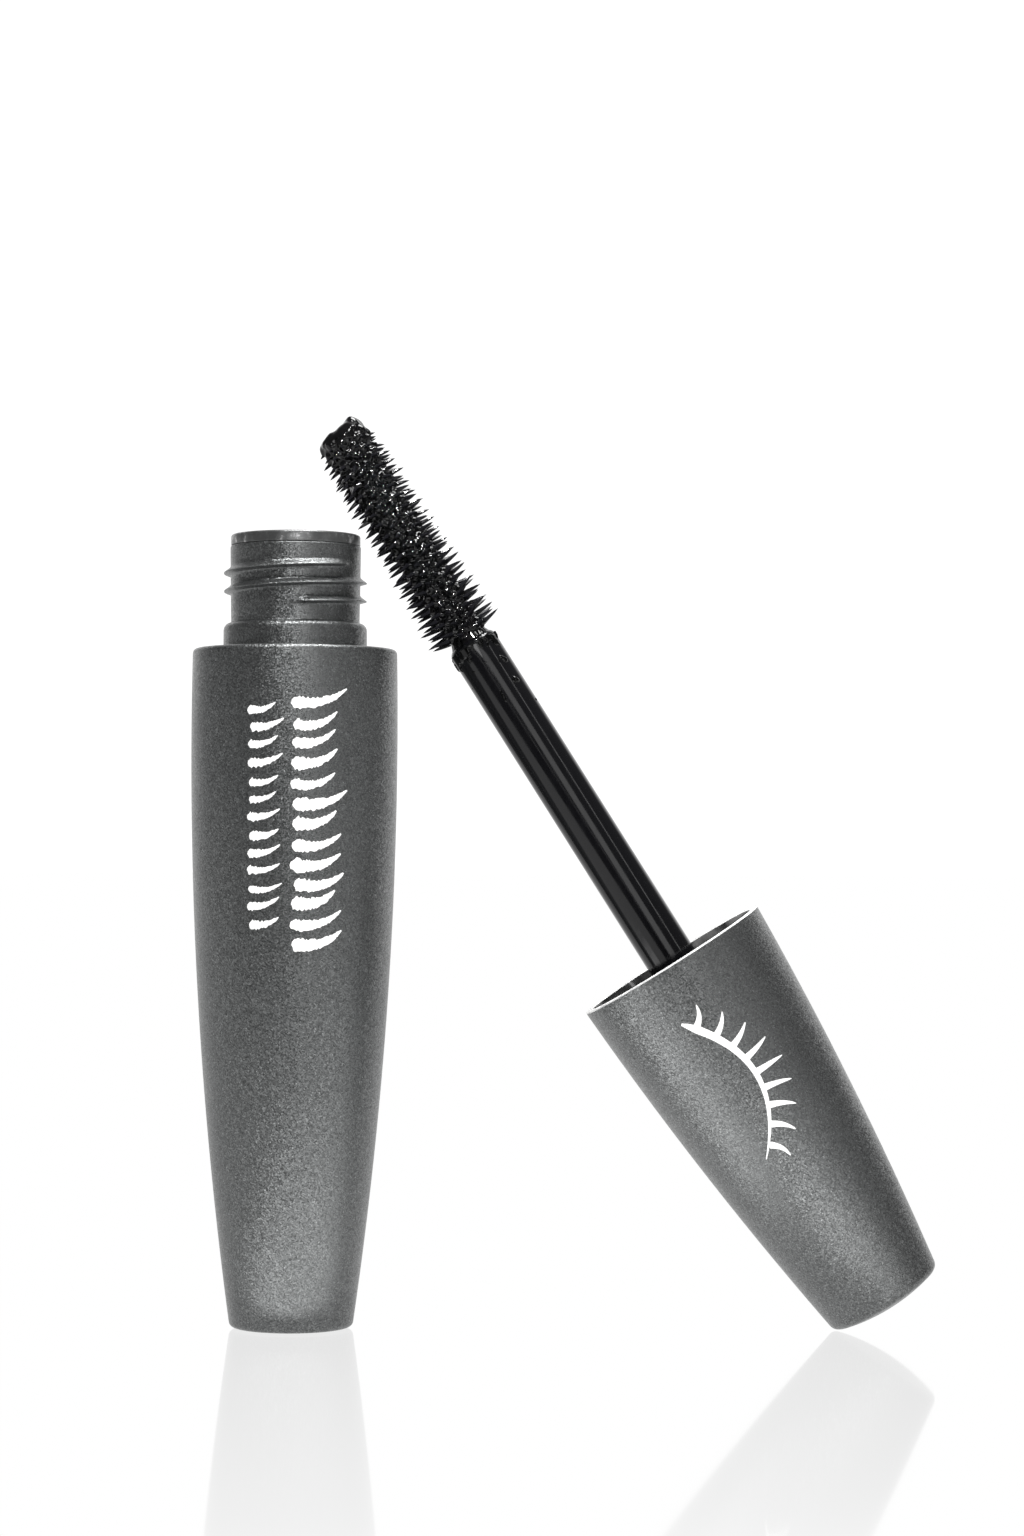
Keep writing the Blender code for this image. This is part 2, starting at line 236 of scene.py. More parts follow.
def add_thread_band(builder, wall, low, high, crest, start_height, turns, section):
    """A round wall between two flat rings, carrying a right-handed helical ridge.

    wall(height) is the plain radius, and crest is the ridge's full rise from it, negative when
    it points inwards. section lists (offset above the helix, share of the rise) over one pitch.
    The ridge rises and falls over run_out, a share of a turn. The mesh rows run along the
    helix, so the crest stays crisp, and rows past a flat ring collapse onto it.
    """
    rows_per_pitch = len(section)
    first_turn = math.floor((low - start_height) / THREAD_PITCH) - 2
    last_turn = math.ceil((high - start_height) / THREAD_PITCH) + 1
    run_out = 0.045
    columns = []
    for step in range(SEGMENTS):
        angle = math.tau * step / SEGMENTS
        column = []
        for turn in range(first_turn, last_turn + 1):
            wound = turn + step / SEGMENTS
            rise = min(1.0, max(0.0, wound / run_out), max(0.0, (turns - wound) / run_out))
            rise = rise * rise * (3 - 2 * rise)
            for offset, share in section:
                height = start_height + THREAD_PITCH * wound + offset
                inside = low < height < high
                height = min(max(height, low), high)
                radius = wall(height) + (crest * share * rise if inside else 0.0)
                column.append(builder.verts.new((radius * math.cos(angle), radius * math.sin(angle),
                                                 height)))
        columns.append(column)
    rows = len(columns[0])
    for step in range(SEGMENTS):
        near = columns[step]
        last = step + 1 == SEGMENTS
        far = columns[0][rows_per_pitch:] if last else columns[step + 1]
        for row in range(min(rows, len(far)) - 1):
            corners = (near[row], far[row], far[row + 1], near[row + 1])
            if len({round(v.co.z, 5) for v in corners}) > 1:
                builder.faces.new(corners)


def bottle_radius(height):
    """The bottle's swelling side."""
    return BOTTLE_MAX_RADIUS - BOTTLE_TAPER * (BOTTLE_MAX_RADIUS_HEIGHT - height) ** 2


def cap_radius(depth):
    """The cap's tapering side, by depth from its mouth."""
    return CAP_MOUTH_RADIUS - CAP_SLOPE * depth - CAP_CURVE * depth ** 2


def brush_radius(reach):
    """The CAD brush's cone, by reach from the cap's mouth."""
    share = (reach - STEM_REACH) / (BRUSH_REACH - STEM_REACH)
    return BRUSH_HEEL_RADIUS + (BRUSH_TIP_RADIUS - BRUSH_HEEL_RADIUS) * share


def bristle_tips(reach):
    """How far the bristles stand out: just beyond the CAD's cone, then drawn in at the very tip."""
    along = (reach - STEM_REACH) / (BRUSH_REACH - STEM_REACH)
    overhang = 0.22
    least = 4.42
    drawn_in = 0.75 * max(0.0, (along - 0.84) / 0.16)
    return max(brush_radius(reach) + overhang, least) - drawn_in


# ---------------------------------------------------------------- materials

class Shader:
    """A new material with its Principled shader and short calls for its nodes.

    sockets sets further inputs of the shader, with _ for each space in their names.
    """

    def __init__(self, name, colour, roughness, metallic=0.0, **sockets):
        self.material = bpy.data.materials.new(name)
        self.material.use_nodes = True
        self.tree = self.material.node_tree
        self.shader = self.tree.nodes["Principled BSDF"]
        self.shader.inputs["Base Color"].default_value = (*colour, 1.0)
        self.shader.inputs["Roughness"].default_value = roughness
        self.shader.inputs["Metallic"].default_value = metallic
        for socket, value in sockets.items():
            self.shader.inputs[socket.replace("_", " ")].default_value = value
        coordinates = self.tree.nodes.new("ShaderNodeTexCoord")
        self.place = coordinates.outputs["Object"]

    def join(self, source, target):
        self.tree.links.new(source, target)

    def noise(self, scale, detail=3.0, roughness=0.5, stretch=None):
        node = self.tree.nodes.new("ShaderNodeTexNoise")
        node.inputs["Scale"].default_value = scale
        node.inputs["Detail"].default_value = detail
        node.inputs["Roughness"].default_value = roughness
        place = self.place
        if stretch:
            mapping = self.tree.nodes.new("ShaderNodeMapping")
            mapping.inputs["Scale"].default_value = stretch
            self.join(place, mapping.inputs["Vector"])
            place = mapping.outputs["Vector"]
        self.join(place, node.inputs["Vector"])
        return node.outputs["Fac"]

    def flakes(self, scale):
        node = self.tree.nodes.new("ShaderNodeTexVoronoi")
        node.inputs["Scale"].default_value = scale
        self.join(self.place, node.inputs["Vector"])
        return node.outputs["Color"]

    def ramp(self, source, stops):
        node = self.tree.nodes.new("ShaderNodeValToRGB")
        band = node.color_ramp
        band.elements[0].position = stops[0][0]
        band.elements[0].color = (*stops[0][1], 1.0)
        band.elements[1].position = stops[-1][0]
        band.elements[1].color = (*stops[-1][1], 1.0)
        for position, colour in stops[1:-1]:
            band.elements.new(position).color = (*colour, 1.0)
        self.join(source, node.inputs["Fac"])
        return node.outputs["Color"]

    def spread(self, source, low, high):
        """Maps 0.3..0.7, where most of a noise lies, to low..high."""
        node = self.tree.nodes.new("ShaderNodeMapRange")
        node.inputs["From Min"].default_value = 0.3
        node.inputs["From Max"].default_value = 0.7
        node.inputs["To Min"].default_value = low
        node.inputs["To Max"].default_value = high
        self.join(source, node.inputs["Value"])
        return node.outputs["Result"]

    def tilt_by(self, source, amount):
        """Leans the surface's normal by a random colour, as metal flakes in paint do."""
        geometry = self.tree.nodes.new("ShaderNodeNewGeometry")
        centred = self.tree.nodes.new("ShaderNodeVectorMath")
        centred.operation = "SUBTRACT"
        centred.inputs[1].default_value = (0.5, 0.5, 0.5)
        scaled = self.tree.nodes.new("ShaderNodeVectorMath")
        scaled.operation = "SCALE"
        scaled.inputs["Scale"].default_value = amount
        added = self.tree.nodes.new("ShaderNodeVectorMath")
        added.operation = "ADD"
        unit = self.tree.nodes.new("ShaderNodeVectorMath")
        unit.operation = "NORMALIZE"
        self.join(source, centred.inputs[0])
        self.join(centred.outputs["Vector"], scaled.inputs[0])
        self.join(geometry.outputs["Normal"], added.inputs[0])
        self.join(scaled.outputs["Vector"], added.inputs[1])
        self.join(added.outputs["Vector"], unit.inputs[0])
        return unit.outputs["Vector"]

    def bump(self, height, strength, distance, normal=None):
        node = self.tree.nodes.new("ShaderNodeBump")
        node.inputs["Strength"].default_value = strength
        node.inputs["Distance"].default_value = distance
        self.join(height, node.inputs["Height"])
        if normal:
            self.join(normal, node.inputs["Normal"])
        self.join(node.outputs["Normal"], self.shader.inputs["Normal"])


def satin_paint(name, tone):
    """Charcoal metallic paint: fine flakes that differ in tone and lean, under a satin coat."""
    paint = Shader(name, tone, 0.42, 0.8, Coat_Weight=0.1, Coat_Roughness=0.25)
    flakes = paint.flakes(7200)
    separate = paint.tree.nodes.new("ShaderNodeSeparateColor")
    paint.join(flakes, separate.inputs["Color"])
    shades = [tuple(share * value for value in tone) for share in (0.6, 1.0, 1.5, 2.1)]
    flecked = paint.ramp(separate.outputs["Red"], tuple(zip((0.0, 0.5, 0.96, 1.0), shades)))
    paint.join(flecked, paint.shader.inputs["Base Color"])
    paint.join(paint.spread(paint.noise(160), 0.36, 0.42), paint.shader.inputs["Roughness"])
    leaning = paint.tilt_by(flakes, 0.32)
    paint.bump(paint.noise(1500), 0.1, 0.00004, leaning)
    return paint.material


def smooth_satin(name):
    """The same charcoal without flakes, on the wiper's flange, with dried specks on it."""
    satin = Shader(name, (0.12, 0.12, 0.12), 0.36, 0.6)
    specks = satin.noise(620, 6.0, 0.65)
    tone = satin.ramp(specks, ((0.45, (0.1, 0.102, 0.102)), (0.58, (0.15, 0.152, 0.152)),
                               (0.68, (0.55, 0.55, 0.55))))
    satin.join(tone, satin.shader.inputs["Base Color"])
    satin.bump(specks, 0.15, 0.00006)
    return satin.material


def pale_lip_painted_highlight(name):
    """The cap's cut edge, left unpainted and worn smooth; its pale colour is partly the bare edge and
    partly a painted highlight, the bright line along the lip.
    """
    lip = Shader(name, (0.85, 0.85, 0.84), 0.5, 0.1)
    tone = lip.ramp(lip.noise(900, 4.0), ((0.3, (0.6, 0.6, 0.6)), (0.55, (0.9, 0.9, 0.89))))
    lip.join(tone, lip.shader.inputs["Base Color"])
    lip.bump(lip.noise(2600), 0.15, 0.00003)
    return lip.material


def bare_shell(name):
    """The cap's inner wall: smooth dark metallised plastic, streaked along the wall."""
    bare = Shader(name, (0.3, 0.3, 0.3), 0.12, 0.85)
    streaks = bare.noise(380, 4.0)
    tone = bare.ramp(streaks, ((0.35, (0.06, 0.06, 0.06)), (0.65, (0.24, 0.24, 0.24))))
    bare.join(tone, bare.shader.inputs["Base Color"])
    bare.join(bare.spread(streaks, 0.08, 0.2), bare.shader.inputs["Roughness"])
    bare.bump(bare.noise(700), 0.12, 0.00005)
    return bare.material


def gloss_black(name, roughness=0.1, wave=0.08, specular=0.4):
    """High-gloss black moulding with faint flow lines and handling marks."""
    gloss = Shader(name, (0.005, 0.005, 0.006), roughness, Specular_IOR_Level=specular)
    marks = gloss.spread(gloss.noise(900, 6.0, stretch=(1.0, 1.0, 0.25)), roughness * 0.7,
                         roughness * 1.7)
    gloss.join(marks, gloss.shader.inputs["Roughness"])
    gloss.bump(gloss.noise(260, 2.0), wave, 0.00006)
    return gloss.material


def wet_mascara(name):
    """Near-black paste, smooth enough for each lump to catch its own point of light."""
    paste = Shader(name, (0.0012, 0.0012, 0.0013), 0.1, Specular_IOR_Level=0.3)
    paste.join(paste.spread(paste.noise(500, 2.0), 0.06, 0.13), paste.shader.inputs["Roughness"])
    paste.bump(paste.noise(700, 1.0, 0.3), 0.05, 0.0001)
    return paste.material


def foam_seal(name):
    """Pale, fine-celled foam."""
    foam = Shader(name, (0.62, 0.62, 0.6), 0.75)
    tone = foam.ramp(foam.noise(900, 4.0), ((0.3, (0.5, 0.5, 0.49)), (0.7, (0.68, 0.68, 0.66))))
    foam.join(tone, foam.shader.inputs["Base Color"])
    foam.bump(foam.noise(4200), 0.4, 0.00006)
    return foam.material


def white_ink_painted_glow(name):
    """Screen-printed white, a little uneven, with a painted glow: a faint white emission makes it brighter
    than the lamps alone light it.
    """
    # Painted glow: the print gives off a faint white light of its own.
    ink = Shader(name, (0.94, 0.94, 0.93), 0.5, Emission_Strength=0.25)
    ink.shader.inputs["Emission Color"].default_value = (1.0, 1.0, 1.0, 1.0)
    tone = ink.ramp(ink.noise(2500, 4.0), ((0.3, (0.88, 0.88, 0.87)), (0.6, (0.97, 0.97, 0.96))))
    ink.join(tone, ink.shader.inputs["Base Color"])
    ink.bump(ink.noise(3600), 0.25, 0.00003)
    return ink.material


# ---------------------------------------------------------------- bottle

def bottle_shell(paint):
    """The painted outer tube: a swelling side, a rounded foot and a flat shoulder with a hole."""
    hole = VIAL_SHAFT_RADIUS + GAP
    side_top = 80.0
    side_foot = 1.6
    inner_top = BOTTLE_HEIGHT - SHOULDER_THICKNESS
    shoulder_edge = (bottle_radius(BOTTLE_HEIGHT), BOTTLE_HEIGHT)
    below_shoulder = (bottle_radius(SIDE_END), SIDE_END)
    above_foot = (bottle_radius(SIDE_START), SIDE_START)
    foot_edge = (bottle_radius(0.0), 0.0)
    outline = [(hole, BOTTLE_HEIGHT), (COLLAR_RADIUS + 1.0, BOTTLE_HEIGHT)]
    outline += fillet((0.0, BOTTLE_HEIGHT), shoulder_edge, below_shoulder, SHOULDER_ROUNDING, 8)
    outline += [(bottle_radius(height), height) for height in spaced(side_top, side_foot, 48)]
    outline += fillet(above_foot, foot_edge, (0.0, 0.0), FOOT_ROUNDING, 8)
    outline += [(5.0, 0.0), (0.0, 0.0), (0.0, FOOT_THICKNESS)]
    outline += [(bottle_radius(height) - BOTTLE_WALL, height)
                for height in spaced(FOOT_THICKNESS, inner_top, 10)]
    outline += [(hole, inner_top)]
    turned_piece("bottle_shell", outline, paint, "bottle", ["outer_tube"])


def neck_wall(height):
    """The neck's plain radius, a little wider towards the rim."""
    share = (height - COLLAR_TOP) / (RIM_HEIGHT - COLLAR_TOP)
    return NECK_ROOT_RADIUS + (NECK_TOP_RADIUS - NECK_ROOT_RADIUS) * share


def neck_and_collar(paint):
    """The vial: shaft inside the shell, collar on the shoulder, neck with its thread, open bore."""
    seat = BOTTLE_HEIGHT + SEATED
    collar_top = COLLAR_TOP + 0.35
    collar_rounding = 0.95
    neck_top = RIM_HEIGHT - WIPER_FLANGE_THICKNESS - SEATED
    inner_floor = VIAL_FLOOR_HEIGHT + VIAL_WALL
    band_low = 85.6
    band_high = 92.6
    thread_crest = 0.82
    thread_turns = 2.165
    below = softened([
        (0.0, VIAL_FLOOR_HEIGHT, 0), (VIAL_FLOOR_RADIUS, VIAL_FLOOR_HEIGHT, 0.8),
        (VIAL_SHAFT_RADIUS, VIAL_TAPER_END, 0), (VIAL_SHAFT_RADIUS, seat, 0), (COLLAR_RADIUS, seat, 0.12),
        (COLLAR_RADIUS, collar_top, collar_rounding), (neck_wall(collar_top), collar_top, 0.12),
        (neck_wall(band_low), band_low, 0)])
    above = softened([
        (neck_wall(band_high), band_high, 0), (neck_wall(neck_top), neck_top, 0.22),
        (NECK_BORE_RADIUS, neck_top, 0.2), (NECK_BORE_RADIUS, VIAL_TAPER_END, 0),
        (VIAL_FLOOR_RADIUS - VIAL_WALL, inner_floor, 0.8), (0.0, inner_floor, 0)])
    section = ((-0.32, 0.0), (-0.26, 0.06), (-0.12, 0.72), (-0.05, 0.97), (0.02, 1.0), (0.1, 0.93),
               (0.25, 0.66), (0.45, 0.32), (0.62, 0.1), (0.8, 0.0), (1.2, 0.0), (1.6, 0.0))
    builder = bmesh.new()
    add_turned(builder, below)
    add_thread_band(builder, neck_wall, band_low, band_high, thread_crest, THREAD_START_HEIGHT,
                    thread_turns, section)
    add_turned(builder, above)
    turn_to_front = Matrix.Rotation(math.radians(-90), 4, "Z")
    add_piece("neck_and_collar", builder, paint, "bottle", ["inner_vial"], turn_to_front)


def wiper_insert(soft):
    """The wiper: a flange on the neck's rim, and a sleeve that narrows to a wiping lip."""
    flange_foot = RIM_HEIGHT - WIPER_FLANGE_THICKNESS
    sleeve = NECK_BORE_RADIUS - GAP
    mouth = sleeve - WIPER_WALL
    outline = softened([
        (mouth, RIM_HEIGHT, 0.35), (WIPER_FLANGE_RADIUS, RIM_HEIGHT, 0.3),
        (WIPER_FLANGE_RADIUS, flange_foot, 0.1), (sleeve, flange_foot, 0), (sleeve, WIPER_SLEEVE_FOOT, 0.4),
        (WIPER_ORIFICE_RADIUS + WIPER_WALL, WIPER_LIP_HEIGHT, 0.2),
        (WIPER_ORIFICE_RADIUS, WIPER_LIP_HEIGHT, 0.2),
        (WIPER_ORIFICE_RADIUS, WIPER_LIP_HEIGHT + WIPER_LIP_LENGTH, 0.2),
        (mouth, WIPER_SLEEVE_FOOT + 0.5, 0.6)], closed=True)
    turned_piece("wiper_insert", outline, soft, "bottle", ["wiper"])


def vial_paste(paste):
    """What is left in the vial: a wall film and a floor pool, lumpy where the brush combs it.

    The film's outside widens upwards with the vial; its inside narrows down to the pool.
    """
    floor = VIAL_FLOOR_HEIGHT + VIAL_WALL + GAP
    foot_radius = VIAL_FLOOR_RADIUS - VIAL_WALL - GAP
    mouth_radius = 4.7
    pool = 1.6
    outline = [(0.0, floor), (foot_radius, floor)]
    outline += [(foot_radius + 1.2 * share, floor + (FILL_TOP - floor) * share)
                for share in spaced(0.05, 1.0, 12)]
    outline += [(mouth_radius - 1.1 * share, FILL_TOP - (FILL_TOP - floor - pool) * share)
                for share in spaced(0.0, 1.0, 40)]
    outline += [(1.8, floor + 1.4), (0.0, floor + 1.2)]

    def lumps(radius, height, angle):
        if radius > mouth_radius + 0.05 or radius < 1.0 or height < floor + 1.0:
            return radius, height
        point = Vector((math.cos(angle) * radius, math.sin(angle) * radius, height * 0.8))
        return radius + 0.22 * noise.noise(point * 0.9), height

    turned_piece("vial_paste", outline, paste, "bottle", ["mascara_fill"],
                 closed=False, segments=64, ripple=lumps)


# ---------------------------------------------------------------- cap

def cap_outer(paint, bare, lip_highlight_material):
    """The cap's shell: painted outside, pale on its cut lip (partly a painted highlight) and bare inside.
    """
    corner_depth = CAP_LENGTH - CAP_DOME
    end_radius = cap_radius(corner_depth)
    inner_end = CAP_LENGTH - CAP_END_THICKNESS - CAP_DOME
    lip = 0.22
    inner_lip = 0.08
    side_start = 0.9
    below_lip = 4.0

    def dome(radius):
        return (radius, -CAP_LENGTH + CAP_DOME * (radius / end_radius) ** 2)

    def inner_radius(depth):
        return cap_radius(depth) - CAP_WALL

    inner_edge = (inner_radius(0.0), 0.0)
    outer_edge = (cap_radius(0.0), 0.0)
    outline = fillet(inner_edge, outer_edge, (cap_radius(below_lip), -below_lip), lip, 6)
    outline += [(cap_radius(depth), -depth) for depth in spaced(side_start, CAP_SIDE_END, 40)]
    outline += fillet(outline[-1], (end_radius, -corner_depth), dome(CAP_FLAT_RADIUS), CAP_END_ROUNDING, 10)
    outline += [dome(radius) for radius in spaced(CAP_FLAT_RADIUS, 0.0, 10)]
    outline += [(0.0, -inner_end)]
    outline += [(inner_radius(depth), -depth) for depth in spaced(inner_end, side_start, 16)]
    outline += fillet((inner_radius(below_lip), -below_lip), inner_edge, outer_edge, inner_lip, 6)
    cap = turned_piece("cap_outer", outline, paint, "applicator", ["cap_shell"], LEANING)
    cap.data.materials.append(bare)
    cap.data.materials.append(lip_highlight_material)
    to_local = (Matrix.Scale(MM, 4) @ LEANING).inverted()
    for face in cap.data.polygons:
        centre = to_local @ face.center
        reach = math.hypot(centre.x, centre.y)
        if -centre.z < lip * 0.75:
            # The cut lip takes the pale lip material, partly its bare edge and partly a painted highlight.
            face.material_index = 2
        elif centre.z > -inner_end + 0.2 and reach < cap_radius(-centre.z) - CAP_WALL * 0.6:
            face.material_index = 1


def cap_liner(moulded):
    """The liner that screws onto the neck, with its inside thread."""
    deck_back = LINER_DECK + LINER_DECK_THICKNESS
    flange_back = LINER_RECESS + LINER_FLANGE_THICKNESS
    skirt = cap_radius(deck_back) - CAP_WALL - GAP
    flange = cap_radius(flange_back) - CAP_WALL - GAP
    hole = STEM_PLUG_RADIUS + GAP
    band_low = -12.4
    band_high = -4.4
    thread_crest = LINER_THREAD_CREST_RADIUS - LINER_BORE_RADIUS
    thread_turns = 1.75
    section = ((-0.55, 0.0), (-0.4, 0.3), (-0.2, 0.85), (-0.08, 1.0), (0.08, 1.0), (0.2, 0.85),
               (0.4, 0.3), (0.55, 0.0), (1.0, 0.0), (1.4, 0.0))

    def bore(_height):
        return LINER_BORE_RADIUS

    back = softened([
        (LINER_BORE_RADIUS, band_low, 0), (LINER_BORE_RADIUS, -LINER_DECK, 0.4), (hole, -LINER_DECK, 0),
        (hole, -deck_back, 0), (skirt, -deck_back, 0.2), (skirt, -flange_back, 0.2),
        (flange, -flange_back, 0.1), (flange, -LINER_RECESS, 0.25),
        (LINER_BORE_RADIUS + 0.4, -LINER_RECESS, 0.3), (LINER_BORE_RADIUS, -LINER_RECESS - 0.6, 0.3),
        (LINER_BORE_RADIUS, band_high, 0)])
    builder = bmesh.new()
    add_turned(builder, back)
    add_thread_band(builder, bore, band_low, band_high, thread_crest, -LINER_THREAD_DEPTH, thread_turns,
                    section)
    add_piece("cap_liner", builder, moulded, "applicator", ["inner_cap"], LEANING)


def seal_ring(foam):
    """The loose foam washer that the neck's rim presses on."""
    back = WASHER_DEPTH + WASHER_THICKNESS
    hole = STEM_RADIUS + WASHER_HOLE_CLEARANCE
    edge = LINER_THREAD_CREST_RADIUS - WASHER_EDGE_CLEARANCE
    rounding = 0.15
    outline = softened([(hole, -back, rounding), (hole, -WASHER_DEPTH, rounding),
                        (edge, -WASHER_DEPTH, rounding), (edge, -back, rounding)], closed=True, steps=3)
    turned_piece("seal_ring", outline, foam, "seal", ["seal_washer"], LEANING, segments=96)


def wand_stem(gloss):
    """The stem: a plug through the liner's deck, a flange before it, and a socket for the brush."""
    flange_front = WASHER_DEPTH + WASHER_THICKNESS + GAP
    flange_back = flange_front + STEM_FLANGE_THICKNESS
    socket = BRUSH_PLUG_RADIUS + GAP
    socket_floor = STEM_REACH - BRUSH_PLUG_LENGTH - GAP
    outline = softened([
        (0.0, -STEM_PLUG_DEPTH, 0), (STEM_PLUG_RADIUS, -STEM_PLUG_DEPTH, 0.3),
        (STEM_PLUG_RADIUS, -flange_back, 0), (STEM_FLANGE_RADIUS, -flange_back, 0.2),
        (STEM_FLANGE_RADIUS, -flange_front, 0.2), (STEM_RADIUS, -flange_front, 0.4),
        (STEM_RADIUS, STEM_REACH, 0.95), (socket, STEM_REACH, 0), (socket, socket_floor, 0),
        (0.0, socket_floor, 0)])
    finer = []
    for (radius, height), (_next_radius, next_height) in zip(outline, outline[1:]):
        finer.append((radius, height))
        is_long_shaft = next_height - height > 20
        if is_long_shaft:
            finer += [(radius, z) for z in spaced(height, next_height, 32)[1:-1]]
    finer.append(outline[-1])
    turned_piece("wand_stem", finer, gloss, "applicator", ["stem"], LEANING, closed=False,
                 segments=96)


def stem_residue(paste):
    """Dabs of paste left on the stem next to the brush; between them the film dips inside the stem."""
    start = 35.0
    end = STEM_REACH - 0.7
    inside = STEM_RADIUS - 0.3
    thickest = 0.22

    def dabs(radius, height, angle):
        if radius < STEM_RADIUS - 0.1:
            return radius, height
        point = Vector((math.cos(angle) * 3.0, math.sin(angle) * 3.0, height * 0.55))
        closeness = (height - start) / (end - start)
        film = noise.noise(point * 0.8) + 0.5 * noise.noise(point * 2.1) - 0.55 + 0.6 * closeness ** 2
        return STEM_RADIUS - 0.05 + min(thickest, max(0.0, film)), height

    outline = [(inside, start), (inside, end)]
    outline += [(STEM_RADIUS, height) for height in spaced(end, start, 90)]
    turned_piece("stem_residue", outline, paste, "applicator", place=LEANING, ripple=dabs)


# ---------------------------------------------------------------- brush

def bristle_places():
    """(row angle, reach along the brush, tilt towards the tip) of every bristle."""
    rng = random.Random(7)
    first = STEM_REACH + 0.9
    last = BRUSH_REACH - 1.5
    pitch = (last - first) / (BRISTLES_PER_ROW - 0.5)
    places = []
    for row in range(BRISTLE_ROWS):
        for index in range(BRISTLES_PER_ROW):
            reach = first + pitch * (index + 0.5 * (row % 2)) + rng.uniform(-0.1, 0.1)
            angle = math.tau * row / BRISTLE_ROWS + rng.uniform(-0.05, 0.05)
            along = (reach - first) / (last - first)
            tilt = math.radians(6 - 19 * along + rng.uniform(-5, 5))
            places.append((angle, reach, tilt))
    return places


def add_bristle(builder, angle, reach, tilt, length_loss):
    """A tapered, slightly bent moulded bristle from the core to the brush's envelope."""
    outward = Vector((math.cos(angle), math.sin(angle), 0.0))
    lengthwise = Vector((0.0, 0.0, 1.0))
    sideways = outward.cross(lengthwise)
    sides = 7
    stations = 6
    tip_thickness = 0.05
    root = 1.3
    flare = 2.1
    top = bristle_tips(min(reach + 0.4, BRUSH_REACH)) - length_loss
    rings = []
    for station in range(stations):
        share = station / stations
        out = root + (top - root) * share
        narrowing = min(1.0, (top - out) / (top - flare))
        bend = math.tan(tilt) * (out - root) * (0.7 + 0.5 * share)
        centre = outward * out + lengthwise * (reach + bend)
        thickness = tip_thickness + 0.33 * narrowing ** 0.8
        ring = []
        for side in range(sides):
            turn = math.tau * side / sides
            arm = sideways * math.cos(turn) + lengthwise * math.sin(turn)
            ring.append(builder.verts.new(centre + arm * thickness))
        rings.append(ring)
    for low, high in zip(rings, rings[1:]):
        for side in range(sides):
            following = (side + 1) % sides
            builder.faces.new((low[side], low[following], high[following], high[side]))
    builder.faces.new(reversed(rings[0]))
    point = builder.verts.new(outward * top + lengthwise * (reach + math.tan(tilt) * (top - root) * 1.2))
    for side in range(sides):
        builder.faces.new((rings[-1][side], rings[-1][(side + 1) % sides], point))


def brush_bristles(places, material):
    """All the bristles, each a little shorter than the envelope by its own amount."""
    rng = random.Random(11)
    builder = bmesh.new()
    for angle, reach, tilt in places:
        add_bristle(builder, angle, reach, tilt, rng.uniform(0.0, 0.3))
    return add_piece("brush_bristles", builder, material, "applicator", ["brush"], LEANING)


def brush_spine(material):
    """The brush's core, with a thinner plug that sits in the stem's socket."""
    plug_end = STEM_REACH - BRUSH_PLUG_LENGTH + 0.1
    core_start = STEM_REACH + GAP
    outline = softened([
        (0.0, plug_end, 0), (BRUSH_PLUG_RADIUS, plug_end, 0.2), (BRUSH_PLUG_RADIUS, core_start, 0),
        (BRUSH_CORE_RADIUS, core_start, 0.2), (BRUSH_CORE_RADIUS, BRUSH_REACH - 1.2, 0.6),
        (0.0, BRUSH_REACH - 1.0, 0)], steps=4)
    turned_piece("brush_spine", outline, material, "applicator", ["brush"], LEANING,
                 closed=False, segments=32)


def mascara_coat(places, material):
    """Paste round the spine: it climbs each bristle's root and piles up in a blunt, lumpy tip."""
    heel = STEM_REACH - 0.4
    tip = BRUSH_REACH - 0.25
    stations = 180
    segments = 132
    root_spread = 0.34
    influence = 1.4
    fullest_climb = 1.3
    below_tips = 0.7
    dome_length = 1.3
    near = {}
    for angle, reach, tilt in places:
        for slot in range(int(reach - influence), int(reach + influence) + 1):
            near.setdefault(slot, []).append((angle, reach, tilt))

    def paste_radius(reach, angle):
        share = (reach - heel) / (tip - heel)
        base = 1.95 + 0.4 * share + 0.8 * max(0.0, (share - 0.86) / 0.14)
        climb = 0.0
        for root_angle, root_reach, tilt in near.get(int(reach), ()):
            along = (reach - root_reach - math.tan(tilt) * 0.9) / root_spread
            turn = (angle - root_angle + math.pi) % math.tau - math.pi
            round_by = turn * base / root_spread
            climb += math.exp(-0.5 * (along * along + round_by * round_by))
        point = Vector((math.cos(angle) * base, math.sin(angle) * base, reach))
        lump = 0.3 * noise.noise(point * 0.55) + 0.16 * noise.noise(point * 1.6)
        out = base + min(climb, fullest_climb) * 0.7 + lump
        ceiling = bristle_tips(reach) - below_tips
        meniscus = 2.75 - 0.5 * (reach - heel)
        return max(min(out, ceiling), meniscus)

    builder = bmesh.new()
    rings = []
    dome_start = tip - dome_length
    levels = [(reach, 1.0) for reach in spaced(heel, dome_start, stations)]
    for step in range(1, 17):
        rise = math.sin(math.pi / 2 * step / 16)
        levels.append((dome_start + dome_length * rise, max(0.03, (1.0 - rise ** 3) ** 0.4)))
    for reach, closing in levels:
        ring = []
        for step in range(segments):
            angle = math.tau * step / segments
            out = paste_radius(reach, angle) * closing
            x = out * math.cos(angle)
            y = out * math.sin(angle)
            near_tip = max(0.0, (reach - dome_start) / dome_length)
            peak = 1.1 * math.exp(-((x - 2.3) ** 2 + (y + 0.4) ** 2) / 1.7) * near_tip
            dent = 0.35 * noise.noise(Vector((x, y, 3.0)) * 0.9) * near_tip
            ring.append(builder.verts.new((x, y, reach + peak + dent)))
        rings.append(ring)
    for low, high in zip(rings, rings[1:]):
        for step in range(segments):
            following = (step + 1) % segments
            builder.faces.new((low[step], low[following], high[following], high[step]))
    builder.faces.new(reversed(rings[0]))
    builder.faces.new(rings[-1])
    return add_piece("mascara_coat", builder, material, "applicator", ["brush"], LEANING, sharp=180)


# ---------------------------------------------------------------- printed motifs

